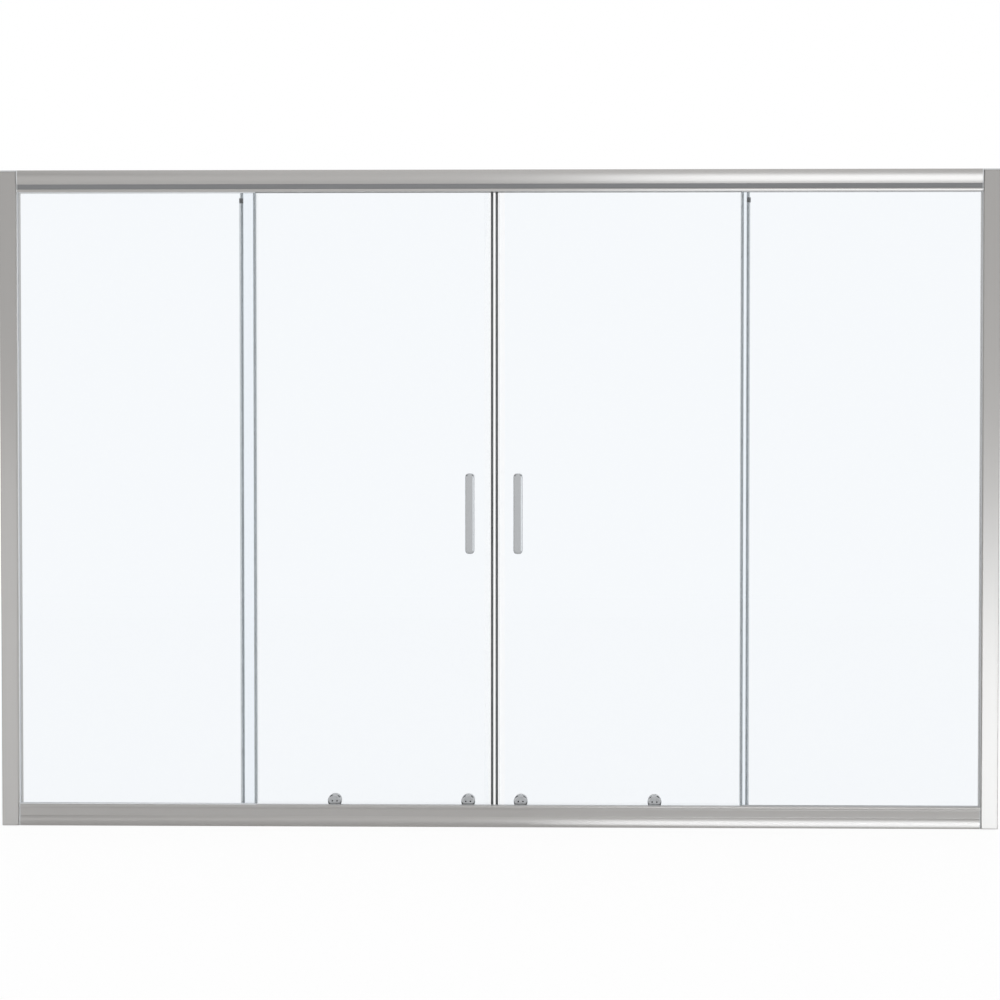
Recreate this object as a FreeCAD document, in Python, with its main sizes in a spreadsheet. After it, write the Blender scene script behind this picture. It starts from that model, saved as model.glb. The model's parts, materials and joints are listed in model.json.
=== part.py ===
"""Sliding bath screen: two fixed panes and two sliding glass doors in an aluminium frame.

Millimetres, +Z up. X runs along the bath, with +X to the right seen from the room.
The room is at -Y and the bath at +Y. The origin is the middle of the bottom rail's
underside, between the plane of the fixed panes in front and that of the doors behind.
"""
import FreeCAD, Part
import Sketcher
import os

doc = FreeCAD.newDocument("sliding_bath_screen")
dims = doc.addObject("Spreadsheet::Sheet", "dims")

# Driving dimensions, each written once
DRIVING = {
    # Whole screen
    "overall_width": 1700,
    "overall_height": 1120,
    "fit_gap": 0.3,
    # Glass and glazing
    "glass_thickness": 5,
    "glass_arris": 0.6,
    "gasket_thickness": 2,
    "gasket_proud": 1.5,
    "fixed_glass_forward": 11,
    "fixed_edge_reach": 412,
    "slot_depth": 14,
    "side_bite": 12,
    "setting_block_height": 4,
    "setting_block_length": 40,
    "setting_block_inset": 60,
    # Rails
    "profile_wall": 2,
    "rail_height": 37,
    "rail_front": 19,
    "rail_rear": 24,
    "barrel_bulge": 3.5,
    "barrel_height": 24,
    "nose_bulge": 2.5,
    "nose_height": 18,
    "top_lip": 4.5,
    "bottom_lip": 6.5,
    "lip_front": 20,
    "lip_bulge": 0.7,
    "trim_thickness": 1.2,
    "gutter_floor": 16,
    "gutter_fall": 2,
    "apron_height": 12,
    "apron_edge": 9,
    "ledge_drop": 2,
    "port_depth": 5.5,
    "port_radius": 1.5,
    "port_wall": 1.4,
    "end_plate": 2,
    "weep_length": 20,
    "weep_height": 4,
    "weep_pitch": 320,
    # Wall channels and uprights
    "channel_face": 28,
    "upright_reveal": 1,
    "upright_leg": 22,
    "cap_plate": 2,
    "cap_plug": 8,
    "wall_hole_radius": 2.6,
    "wall_hole_inset": 60,
    "side_screw_inset": 120,
    "side_screw_setback": 22,
    # Doors
    "door_park": 6.5,
    "door_glass_behind": 5,
    "door_overlap": 22.4,
    "meeting_gap": 0.5,
    "handle_margin": 10.5,
    "stop_length": 14,
    "stop_top": 22,
    # Seals
    "seal_wall": 1,
    "seal_leg": 3.5,
    "fixed_nose": 1.5,
    "trailing_nose": 1.8,
    "fin_thickness": 0.8,
    "fin_inset": 60,
    "seal_inset": 4,
    "magnet_width": 4.2,
    "magnet_depth": 5.8,
    "magnet_play": 0.2,
    "magnet_wall": 1.2,
    "magnet_leg": 10,
    "buffer_drop": 51,
    "buffer_height": 8,
    "buffer_wall": 1.2,
    # Rollers
    "inner_roller": 45,
    "outer_roller_inset": 160.4,
    "top_axle_drop": 21,
    "bottom_axle_height": 42,
    "hole_to_edge": 15.5,
    "tread_radius": 9.5,
    "flange_radius": 11.5,
    "wheel_width": 6.6,
    "tread_width": 3.6,
    "flange_edge": 1,
    "rib_thickness": 3,
    "wheel_offset": 8.5,
    "wheel_play": 0.2,
    "axle_radius": 3,
    "running_fit": 0.05,
    "collar_radius": 7,
    "collar_thickness": 2,
    "spigot_radius": 2.5,
    "glass_hole_radius": 5,
    "washer_radius": 8,
    "washer_thickness": 0.5,
    "cap_thickness": 4.5,
    "cap_rim": 3,
    "bottom_cap_radius": 12,
    "top_cap_radius": 10,
    "cap_socket": 2.6,
    "pin_hole_radius": 1.3,
    "pin_hole_offset": 4,
    "pin_hole_depth": 1.8,
    "retainer_radius": 5,
    "retainer_head": 2.5,
    "retainer_shank": 1.5,
    "retainer_length": 5.5,
    # Handles
    "handle_offset": 41,
    "handle_height": 536,
    "handle_length": 137,
    "handle_width": 15.5,
    "handle_thickness": 8,
    "handle_corner": 6,
    "handle_softening": 3.6,
    "handle_standoff": 26,
    "post_pitch": 112,
    "post_radius": 5,
    "post_hole_radius": 2.05,
    "post_hole_depth": 12,
    "handle_hole_radius": 4,
    "handle_washer": 0.8,
    "handle_washer_radius": 6.5,
    "screw_radius": 2,
    "screw_head_radius": 4.5,
    "screw_head": 2.5,
    "screw_bite": 9,
    # Frame fasteners
    "frame_screw_radius": 1.45,
    "frame_screw_length": 18,
    "frame_screw_head_radius": 2.6,
    "frame_screw_head": 1.8,
    "side_screw_radius": 1.75,
    "side_screw_length": 7,
    "side_screw_head_radius": 3.5,
    "side_screw_head": 2,
    "screw_cap_wall": 1,
}
for row, (alias, number) in enumerate(DRIVING.items(), start=1):
    dims.set(f"A{row}", alias)
    dims.set(f"B{row}", str(number))
    dims.setAlias(f"B{row}", alias)
doc.recompute()

# Sizes and places that follow from the driving dimensions, as expressions
HALF_WIDTH = "(dims.overall_width / 2)"
FRAME_REACH = f"({HALF_WIDTH} - dims.channel_face - dims.upright_reveal)"
RAIL_LENGTH = f"(2 * ({FRAME_REACH} - dims.end_plate))"
HALF_GLASS = "(dims.glass_thickness / 2)"
HALF_SLOT = f"({HALF_GLASS} + dims.gasket_thickness)"

FIXED_PLANE = "(-dims.fixed_glass_forward)"
SLOT_FRONT = f"({FIXED_PLANE} - {HALF_SLOT})"
SLOT_BACK = f"({FIXED_PLANE} + {HALF_SLOT})"
MIDDLE_BACK = f"({SLOT_BACK} + dims.profile_wall)"
FRAME_FRONT = f"({SLOT_FRONT} - dims.profile_wall)"
SLOT_FLOOR = "(dims.rail_height - dims.slot_depth)"
GASKET_TOP = "(dims.rail_height + dims.gasket_proud)"
FIXED_GLASS_EDGE = "(dims.fixed_edge_reach + dims.fixed_nose)"
FIXED_GLASS_SIDE = f"({FRAME_REACH} + dims.side_bite)"
FIXED_GLASS_FOOT = f"({SLOT_FLOOR} + dims.setting_block_height)"
FIXED_FRONT = f"({FIXED_PLANE} - {HALF_GLASS})"
FIXED_BACK = f"({FIXED_PLANE} + {HALF_GLASS})"

DOOR_PLANE = "dims.door_glass_behind"
DOOR_FRONT = f"({DOOR_PLANE} - {HALF_GLASS})"
DOOR_BACK = f"({DOOR_PLANE} + {HALF_GLASS})"
PARK = "(-dims.door_park)"
TOP_AXLE = "(dims.overall_height - dims.top_axle_drop)"
BOTTOM_AXLE = "dims.bottom_axle_height"
DOOR_FOOT = f"({BOTTOM_AXLE} - dims.hole_to_edge)"
DOOR_HEAD = f"({TOP_AXLE} + dims.hole_to_edge)"
MAGNET_BOX = "(dims.magnet_width + 2 * dims.magnet_play + 2 * dims.magnet_wall)"
DOOR_LEADING = f"(dims.meeting_gap + {MAGNET_BOX})"
DOOR_REACH = "(dims.fixed_edge_reach + dims.door_overlap)"
DOOR_TRAILING = f"({DOOR_REACH} - dims.trailing_nose)"
OUTER_ROLLER = f"({DOOR_REACH} - dims.outer_roller_inset)"
HANDLE_EDGE = "(dims.handle_offset + dims.handle_width / 2)"
DOOR_TRAVEL = f"(dims.fixed_edge_reach - {HANDLE_EDGE} - dims.handle_margin)"

WHEEL_PLANE = f"({DOOR_PLANE} + dims.wheel_offset)"
RIB_FRONT = f"({WHEEL_PLANE} - dims.rib_thickness / 2)"
RIB_BACK = f"({WHEEL_PLANE} + dims.rib_thickness / 2)"
TREAD_GAP = "(dims.tread_radius + dims.fit_gap)"
TOP_RIB = f"(dims.top_axle_drop + {TREAD_GAP})"
BOTTOM_RIB = f"({BOTTOM_AXLE} - {TREAD_GAP})"
LEDGE = "(dims.rail_height - dims.ledge_drop)"

PORT_HALF = "(dims.port_radius + dims.port_wall)"
FRONT_PORT = f"({MIDDLE_BACK} + {PORT_HALF})"
FRONT_BOSS = f"({MIDDLE_BACK} + 2 * {PORT_HALF})"
REAR_WALL = "(dims.rail_rear - dims.profile_wall)"
REAR_PORT = f"({REAR_WALL} - {PORT_HALF} - dims.port_wall / 2)"
REAR_BOSS = f"({REAR_PORT} - {PORT_HALF})"
BOSS_DEPTH = f"(dims.port_depth + {PORT_HALF})"

CHANNEL_FRONT = f"({FRAME_FRONT} - dims.fit_gap - dims.profile_wall)"
CHANNEL_BACK = "(dims.rail_rear + dims.fit_gap + dims.profile_wall)"
UPRIGHT_TOP = "(dims.overall_height - dims.cap_plate)"

nodes = {}


def value(expression):
    """The number that an expression of the sheet stands for."""
    return float(dims.evalExpression(expression))


def keep(label, piece):
    """Note a finished sub-part under the name that its file takes."""
    piece.Label = label
    nodes[label] = piece
    return piece


def place(piece, across="0", deep="0", up="0"):
    """Bind a piece's position to expressions of the sheet."""
    for axis, expression in zip("xyz", (across, deep, up)):
        piece.setExpression(f"Placement.Base.{axis}", expression)
    return piece


def new_sketch(body, plane):
    """An empty sketch on one of the body's own origin planes."""
    sketch = body.newObject("Sketcher::SketchObject", f"{body.Name}_outline")
    support = next(item for item in body.Origin.OriginFeatures if item.Role == plane)
    sketch.AttachmentSupport = (support, [""])
    sketch.MapMode = "FlatFace"
    return sketch


def bind(sketch, constraint, expression):
    """Add a measured constraint whose value follows an expression."""
    number = sketch.addConstraint(constraint)
    sketch.setExpression(f"Constraints[{number}]", expression)


def pin(sketch, side, end, point):
    """Hold one end of a side, or a circle's centre, at two coordinates."""
    across, up = point
    bind(sketch, Sketcher.Constraint("DistanceX", -1, 1, side, end, value(across)), across)
    bind(sketch, Sketcher.Constraint("DistanceY", -1, 1, side, end, value(up)), up)


def crown_radius(chord, bulge):
    """The radius of an arc that stands off its chord by this much."""
    return f"(({chord})^2 / (8 * ({bulge})) + ({bulge}) / 2)"


def draw(sketch, corners, arcs=None):
    """Draw a closed outline through corners, which are pairs of expressions.

    arcs names the sides that are round, by the number of the corner where each starts:
    a radius, or the bulge of an upright side, as an expression, and the side that the
    arc stands off to on the way round (+1 left, -1 right).
    """
    arcs = arcs or {}
    points = [FreeCAD.Vector(value(across), value(up), 0) for across, up in corners]
    count = len(points)
    sides = []
    for index, start in enumerate(points):
        finish = points[(index + 1) % count]
        if index in arcs:
            edge = Part.Arc(start, crown_of(start, finish, *arcs[index]), finish)
        else:
            edge = Part.LineSegment(start, finish)
        sides.append(sketch.addGeometry(edge, False))
    for index, side in enumerate(sides):
        after = (index + 1) % count
        first, last = ends_of(sketch, side, points[index])
        next_first, _ = ends_of(sketch, sides[after], points[after])
        sketch.addConstraint(Sketcher.Constraint("Coincident", side, last, sides[after], next_first))
        pin(sketch, side, first, corners[index])
        if index in arcs:
            hold_arc(sketch, side, corners[index], corners[after], *arcs[index])


def crown_of(start, finish, kind, size, bulge_side):
    """The middle point of the arc between two corners."""
    chord = finish - start
    half = chord.Length / 2
    aside = FreeCAD.Vector(-chord.y, chord.x, 0).normalize() * bulge_side
    bulge = value(size)
    if kind == "radius":
        bulge = bulge - (bulge * bulge - half * half) ** 0.5
    return start + chord * 0.5 + aside * bulge


def hold_arc(sketch, side, start, finish, kind, size, bulge_side):
    """Fix an arc between two corners by its radius, or by its centre's place across."""
    if kind == "radius":
        bind(sketch, Sketcher.Constraint("Radius", side, value(size)), size)
        return
    rise = f"({finish[1]} - {start[1]})"
    towards = -bulge_side if value(rise) > 0 else bulge_side
    centre = f"({start[0]} + {towards} * ({size} - {crown_radius(rise, size)}))"
    bind(sketch, Sketcher.Constraint("DistanceX", -1, 1, side, 3, value(centre)), centre)


def ends_of(sketch, side, start):
    """Which ends of a side, 1 or 2, are its first and last on the way round the outline."""
    begins_here = sketch.getPoint(side, 1).distanceToPoint(start) < 1e-6
    return (1, 2) if begins_here else (2, 1)


def ring(sketch, centre, radius):
    """Draw a circle round a centre given as a pair of expressions."""
    middle = FreeCAD.Vector(value(centre[0]), value(centre[1]), 0)
    shape = Part.Circle(middle, FreeCAD.Vector(0, 0, 1), value(radius))
    side = sketch.addGeometry(shape, False)
    pin(sketch, side, 3, centre)
    bind(sketch, Sketcher.Constraint("Radius", side, value(radius)), radius)


def pad(body, sketch, length, both_ways=True, backwards=False):
    """Extrude a sketch, evenly both ways from its plane or to one side."""
    feature = body.newObject("PartDesign::Pad", f"{body.Name}_pad")
    feature.Profile = sketch
    feature.SideType = "Symmetric" if both_ways else "One side"
    feature.Reversed = backwards
    feature.setExpression("Length", length)
    return feature


def pocket(body, sketch, length, both_ways=False, backwards=False):
    """Cut a sketch's outline out of the body."""
    feature = body.newObject("PartDesign::Pocket", f"{body.Name}_pocket")
    feature.Profile = sketch
    feature.SideType = "Symmetric" if both_ways else "One side"
    feature.Reversed = backwards
    feature.setExpression("Length", length)
    return feature


def dress(body, kind, measure, size):
    """Chamfer or round every edge of a body."""
    doc.recompute()
    bare = body.Tip
    feature = body.newObject(f"PartDesign::{kind}", f"{body.Name}_{kind.lower()}")
    feature.Base = (bare, [""])
    feature.UseAllEdges = True
    feature.setExpression(measure, size)
    body.Tip = feature


def extrusion(label, plane, corners, length, arcs=None, hollows=(), holes=(), both_ways=True):
    """A body extruded from one outline, with inner outlines and round holes along its length."""
    body = doc.addObject("PartDesign::Body", label)
    sketch = new_sketch(body, plane)
    draw(sketch, corners, arcs)
    for hollow in hollows:
        draw(sketch, *hollow)
    for centre, radius in holes:
        ring(sketch, centre, radius)
    pad(body, sketch, length, both_ways)
    return body


def turned(label, corners, arcs=None):
    """A body turned about the Y direction from corners of (distance along Y, radius)."""
    body = doc.addObject("PartDesign::Body", label)
    sketch = new_sketch(body, "YZ_Plane")
    draw(sketch, corners, arcs)
    feature = body.newObject("PartDesign::Revolution", f"{label}_turn")
    feature.Profile = sketch
    feature.ReferenceAxis = (sketch, ["H_Axis"])
    feature.Angle = 360
    return body


def group(label, pieces):
    """Several separate solids that share one node."""
    compound = doc.addObject("Part::Compound", label)
    compound.Links = pieces
    return keep(label, compound)


def mirrored(label, source, plane="0"):
    """The same piece for the other hand, mirrored across a plane that faces along X."""
    other = doc.addObject("Part::Mirroring", label)
    other.Source = source
    other.Normal = FreeCAD.Vector(1, 0, 0)
    other.setExpression("Base.x", plane)
    return other


def box_corners(left, right, low, high):
    """The corners of a rectangle from its four edges."""
    return [(left, low), (right, low), (right, high), (left, high)]


def minus(expression):
    """The same distance on the other side of zero."""
    return f"(-({expression}))"


def rail_points(names, up):
    """Corners in (distance from the centre plane, distance from the rail's outer face)."""
    return [(deep, away if up else minus(away)) for deep, away in names]


# Rails: the outline of each, in (Y, distance from the outer face towards the glass)
FLAT_FACE = "(-dims.rail_front)"
LIP_FACE = "(-dims.lip_front)"
TOP_LIP = "(dims.rail_height - dims.top_lip)"
BOTTOM_LIP = "(dims.rail_height - dims.bottom_lip)"
GLAZING_SLOT = [
    (LIP_FACE, "dims.rail_height"),
    (SLOT_FRONT, "dims.rail_height"),
    (SLOT_FRONT, SLOT_FLOOR),
    (SLOT_BACK, SLOT_FLOOR),
    (SLOT_BACK, "dims.rail_height"),
    (MIDDLE_BACK, "dims.rail_height"),
]
TOP_OUTLINE = [
    (FLAT_FACE, "0"),
    (FLAT_FACE, "dims.barrel_height"),
    (FRAME_FRONT, "dims.barrel_height"),
    (FRAME_FRONT, TOP_LIP),
    (LIP_FACE, TOP_LIP),
    *GLAZING_SLOT,
    (MIDDLE_BACK, BOSS_DEPTH),
    (FRONT_BOSS, BOSS_DEPTH),
    (FRONT_BOSS, "dims.profile_wall"),
    (REAR_BOSS, "dims.profile_wall"),
    (REAR_BOSS, BOSS_DEPTH),
    (REAR_WALL, BOSS_DEPTH),
    (REAR_WALL, LEDGE),
    (RIB_BACK, LEDGE),
    (RIB_BACK, TOP_RIB),
    (RIB_FRONT, TOP_RIB),
    (RIB_FRONT, "dims.rail_height"),
    ("dims.rail_rear", "dims.rail_height"),
    ("dims.rail_rear", "0"),
]
BOTTOM_OUTLINE = [
    (FLAT_FACE, "0"),
    (FLAT_FACE, "dims.nose_height"),
    (FLAT_FACE, BOTTOM_LIP),
    (LIP_FACE, BOTTOM_LIP),
    *GLAZING_SLOT,
    (MIDDLE_BACK, "dims.gutter_floor"),
    (RIB_FRONT, "(dims.gutter_floor - dims.gutter_fall)"),
    (RIB_FRONT, BOTTOM_RIB),
    (RIB_BACK, BOTTOM_RIB),
    (RIB_BACK, "dims.apron_height"),
    ("dims.rail_rear", "dims.apron_edge"),
    ("dims.rail_rear", "0"),
]
HOLLOW_FRONT = "(-dims.rail_front + dims.profile_wall)"
HOLLOW_TOP = f"({SLOT_FLOOR} - dims.profile_wall)"
UNDER_NOSE = "(dims.nose_height - dims.profile_wall)"
UNDER_GUTTER = "(dims.gutter_floor - dims.gutter_fall - dims.profile_wall)"
TOP_HOLLOW = [
    (HOLLOW_FRONT, "dims.profile_wall"),
    (HOLLOW_FRONT, HOLLOW_TOP),
    (SLOT_BACK, HOLLOW_TOP),
    (SLOT_BACK, "dims.profile_wall"),
]
NOSE_HOLLOW = [
    (HOLLOW_FRONT, "dims.profile_wall"),
    (HOLLOW_FRONT, UNDER_NOSE),
    (SLOT_FRONT, HOLLOW_TOP),
    (SLOT_BACK, HOLLOW_TOP),
    (SLOT_BACK, "dims.profile_wall"),
]
GUTTER_HOLLOW = [
    (FRONT_BOSS, "dims.profile_wall"),
    (FRONT_BOSS, UNDER_GUTTER),
    (RIB_FRONT, UNDER_GUTTER),
    (RIB_FRONT, "dims.profile_wall"),
]
RAILS = {
    "top_rail": {
        "up": False,
        "outline": TOP_OUTLINE,
        "bulge": "dims.barrel_bulge",
        "hollows": [(TOP_HOLLOW, True)],
        "level": "dims.overall_height",
    },
    "bottom_rail": {
        "up": True,
        "outline": BOTTOM_OUTLINE,
        "bulge": "dims.nose_bulge",
        "hollows": [(NOSE_HOLLOW, True), (GUTTER_HOLLOW, False)],
        "level": "0",
    },
}


def rail_section(label, plate):
    """One rail's extrusion, or with plate the solid end plate of the same outline."""
    rail = RAILS[label]
    up = rail["up"]
    turn = 1 if up else -1
    hollows = []
    hollow_bulge = f"({rail['bulge']} - dims.profile_wall / 2)"
    for corners, bulging in rail["hollows"]:
        round_side = {0: ("bulge", hollow_bulge, turn)} if bulging else None
        hollows.append((rail_points(corners, up), round_side))
    ports = [(FRONT_PORT, "dims.port_depth"), (REAR_PORT, "dims.port_depth")]
    holes = [(centre, "dims.port_radius") for centre in rail_points(ports, up)]
    lip = rail["outline"].index(GLAZING_SLOT[0]) - 1
    body = extrusion(
        f"{label}_end_plate" if plate else label,
        "YZ_Plane",
        rail_points(rail["outline"], up),
        "dims.end_plate" if plate else RAIL_LENGTH,
        arcs={0: ("bulge", rail["bulge"], turn), lip: ("bulge", "dims.lip_bulge", turn)},
        hollows=[] if plate else hollows,
        holes=holes,
    )
    middle = f"(-{FRAME_REACH} + dims.end_plate / 2)"
    return place(body, across=middle if plate else "0", up=rail["level"])


def make_rails():
    """The two rails, with drain slots through the bottom rail's rib, and their end plates."""
    keep("top_rail", rail_section("top_rail", plate=False))
    bottom = keep("bottom_rail", rail_section("bottom_rail", plate=False))
    slot = new_sketch(bottom, "XZ_Plane")
    half = "(dims.weep_length / 2)"
    floor = "(dims.gutter_floor - dims.gutter_fall)"
    draw(slot, box_corners(minus(half), half, floor, f"({floor} + dims.weep_height)"))
    cut = pocket(bottom, slot, "dims.rail_rear")
    for direction in (False, True):
        doc.recompute()
        pattern = bottom.newObject("PartDesign::LinearPattern", f"weep_pattern_{direction}")
        pattern.Originals = [cut]
        pattern.Direction = (slot, ["H_Axis"])
        pattern.Reversed = direction
        pattern.Occurrences = 3
        pattern.setExpression("Length", "(2 * dims.weep_pitch)")
        bottom.Tip = pattern
    left_plates = [rail_section(label, plate=True) for label in RAILS]
    right_plates = [mirrored(f"{plate.Name}_right", plate) for plate in left_plates]
    group("rail_end_plates", left_plates + right_plates)


def make_trim_strips():
    """The dark strips in the groove under the barrel: one above each fixed pane, one between."""
    groove = rail_points(
        box_corners(f"({FRAME_FRONT} - dims.trim_thickness)", FRAME_FRONT, "dims.barrel_height", TOP_LIP),
        up=False,
    )
    side_length = f"({RAIL_LENGTH} / 2 - {FIXED_GLASS_EDGE})"
    side = extrusion("left_trim_strip", "YZ_Plane", groove, side_length)
    place(side, across=minus(f"{FIXED_GLASS_EDGE} + {side_length} / 2"), up="dims.overall_height")
    centre = extrusion("centre_trim_strip", "YZ_Plane", groove, f"(2 * {FIXED_GLASS_EDGE})")
    place(centre, up="dims.overall_height")
    group("top_trim_strips", [side, centre, mirrored("right_trim_strip", side)])


# Wall channels and uprights, drawn in plan for the left-hand side
def from_wall(distance):
    """The X of a place so far from the left-hand wall."""
    return f"(-{HALF_WIDTH} + {distance})"


UPRIGHT_EDGE = "(dims.channel_face + dims.upright_reveal)"
LEG_START = f"({UPRIGHT_EDGE} - dims.upright_leg)"
SLOT_BASE = f"({UPRIGHT_EDGE} - dims.slot_depth)"
SLOT_REAR = f"({SLOT_BASE} - dims.profile_wall)"
FACE_BACK = f"({UPRIGHT_EDGE} - dims.profile_wall)"


def make_uprights():
    """The wall channels, the uprights that slide into them, and the caps over both."""
    channel = extrusion(
        "left_wall_channel",
        "XY_Plane",
        [
            (from_wall("0"), CHANNEL_FRONT),
            (from_wall("dims.channel_face"), CHANNEL_FRONT),
            (from_wall("dims.channel_face"), f"({CHANNEL_FRONT} + dims.profile_wall)"),
            (from_wall("dims.profile_wall"), f"({CHANNEL_FRONT} + dims.profile_wall)"),
            (from_wall("dims.profile_wall"), f"({CHANNEL_BACK} - dims.profile_wall)"),
            (from_wall("dims.channel_face"), f"({CHANNEL_BACK} - dims.profile_wall)"),
            (from_wall("dims.channel_face"), CHANNEL_BACK),
            (from_wall("0"), CHANNEL_BACK),
        ],
        UPRIGHT_TOP,
        both_ways=False,
    )
    wall_holes = new_sketch(channel, "YZ_Plane")
    for level in WALL_HOLE_LEVELS:
        ring(wall_holes, ("0", level), "dims.wall_hole_radius")
    pocket(channel, wall_holes, HALF_WIDTH, backwards=False)
    drill_side_holes(channel, CHANNEL_BACK, "dims.side_screw_radius + dims.running_fit")

    upright = extrusion(
        "left_upright",
        "XY_Plane",
        [
            (from_wall(LEG_START), FRAME_FRONT),
            (from_wall(UPRIGHT_EDGE), FRAME_FRONT),
            (from_wall(UPRIGHT_EDGE), SLOT_FRONT),
            (from_wall(SLOT_BASE), SLOT_FRONT),
            (from_wall(SLOT_BASE), SLOT_BACK),
            (from_wall(UPRIGHT_EDGE), SLOT_BACK),
            (from_wall(UPRIGHT_EDGE), "dims.rail_rear"),
            (from_wall(LEG_START), "dims.rail_rear"),
            (from_wall(LEG_START), REAR_WALL),
            (from_wall(FACE_BACK), REAR_WALL),
            (from_wall(FACE_BACK), MIDDLE_BACK),
            (from_wall(SLOT_REAR), MIDDLE_BACK),
            (from_wall(SLOT_REAR), SLOT_FRONT),
            (from_wall(LEG_START), SLOT_FRONT),
        ],
        UPRIGHT_TOP,
        both_ways=False,
    )
    port_holes = new_sketch(upright, "YZ_Plane")
    for level in PORT_LEVELS:
        for port in (FRONT_PORT, REAR_PORT):
            ring(port_holes, (port, level), "dims.port_radius")
    pocket(upright, port_holes, HALF_WIDTH)
    drill_side_holes(upright, "dims.rail_rear", "dims.side_screw_radius + dims.running_fit")

    keep("left_wall_channel", channel)
    keep("right_wall_channel", mirrored("right_wall_channel", channel))
    keep("left_upright", upright)
    keep("right_upright", mirrored("right_upright", upright))

    cap = extrusion(
        "left_top_cap",
        "XY_Plane",
        box_corners(from_wall("0"), from_wall(UPRIGHT_EDGE), CHANNEL_FRONT, CHANNEL_BACK),
        "dims.cap_plate",
        both_ways=False,
    )
    plug = new_sketch(cap, "XY_Plane")
    draw(
        plug,
        box_corners(
            from_wall("(dims.profile_wall + dims.fit_gap)"),
            from_wall(f"({LEG_START} - dims.fit_gap)"),
            FRAME_FRONT,
            "dims.rail_rear",
        ),
    )
    pad(cap, plug, "dims.cap_plug", both_ways=False, backwards=True)
    place(cap, up=UPRIGHT_TOP)
    group("upright_top_caps", [cap, mirrored("right_top_cap", cap)])


SIDE_SCREW_LEVELS = (
    "dims.side_screw_inset",
    "(dims.overall_height / 2)",
    "(dims.overall_height - dims.side_screw_inset)",
)
WALL_HOLE_LEVELS = (
    "dims.wall_hole_inset",
    "(dims.overall_height / 2)",
    "(dims.overall_height - dims.wall_hole_inset)",
)
PORT_LEVELS = ("dims.port_depth", "(dims.overall_height - dims.port_depth)")


def drill_side_holes(body, back_face, radius):
    """Holes for the side screws, through the rear flange or leg of a body."""
    holes = new_sketch(body, "XZ_Plane")
    for level in SIDE_SCREW_LEVELS:
        ring(holes, (from_wall("dims.side_screw_setback"), level), radius)
    pocket(body, holes, back_face)


def make_frame_fasteners():
    """Screws from the uprights into the rails, and the side screws with their caps."""
    screws = []
    for level in PORT_LEVELS:
        for port in (FRONT_PORT, REAR_PORT):
            screw = doc.addObject("PartDesign::Body", "rail_screw")
            for reach, radius, backwards in (
                ("dims.frame_screw_length", "dims.frame_screw_radius", False),
                ("dims.frame_screw_head", "dims.frame_screw_head_radius", True),
            ):
                sketch = new_sketch(screw, "YZ_Plane")
                ring(sketch, ("0", "0"), radius)
                pad(screw, sketch, reach, both_ways=False, backwards=backwards)
            place(screw, from_wall(FACE_BACK), port, level)
            screws += [screw, mirrored("rail_screw_right", screw)]
    group("rail_screws", screws)

    head_top = "dims.side_screw_head"
    cap_top = "(dims.side_screw_head + dims.screw_cap_wall)"
    cap_rim = "(dims.side_screw_head_radius + dims.screw_cap_wall)"
    screws, caps = [], []
    for level in SIDE_SCREW_LEVELS:
        screw = turned(
            "channel_screw",
            [
                (minus("dims.side_screw_length"), "0"),
                (minus("dims.side_screw_length"), "dims.side_screw_radius"),
                ("0", "dims.side_screw_radius"),
                ("0", "dims.side_screw_head_radius"),
                (head_top, "dims.side_screw_head_radius"),
                (head_top, "0"),
            ],
        )
        cap = turned(
            "channel_screw_cap",
            [
                (head_top, "0"),
                (head_top, "dims.side_screw_head_radius"),
                ("0", "dims.side_screw_head_radius"),
                ("0", cap_rim),
                ("dims.side_screw_head", cap_rim),
                (cap_top, "dims.side_screw_head_radius"),
                (cap_top, "0"),
            ],
        )
        for piece, pieces in ((screw, screws), (cap, caps)):
            place(piece, from_wall("dims.side_screw_setback"), CHANNEL_BACK, level)
            pieces += [piece, mirrored(f"{piece.Name}_right", piece)]
    group("channel_screws", screws)
    group("channel_screw_caps", caps)


# Fixed panes
def glass_pane(label, corners, holes=()):
    """A toughened pane with its edges arrised."""
    body = extrusion(label, "XZ_Plane", corners, "dims.glass_thickness", holes=holes)
    dress(body, "Chamfer", "Size", "dims.glass_arris")
    return body


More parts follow.
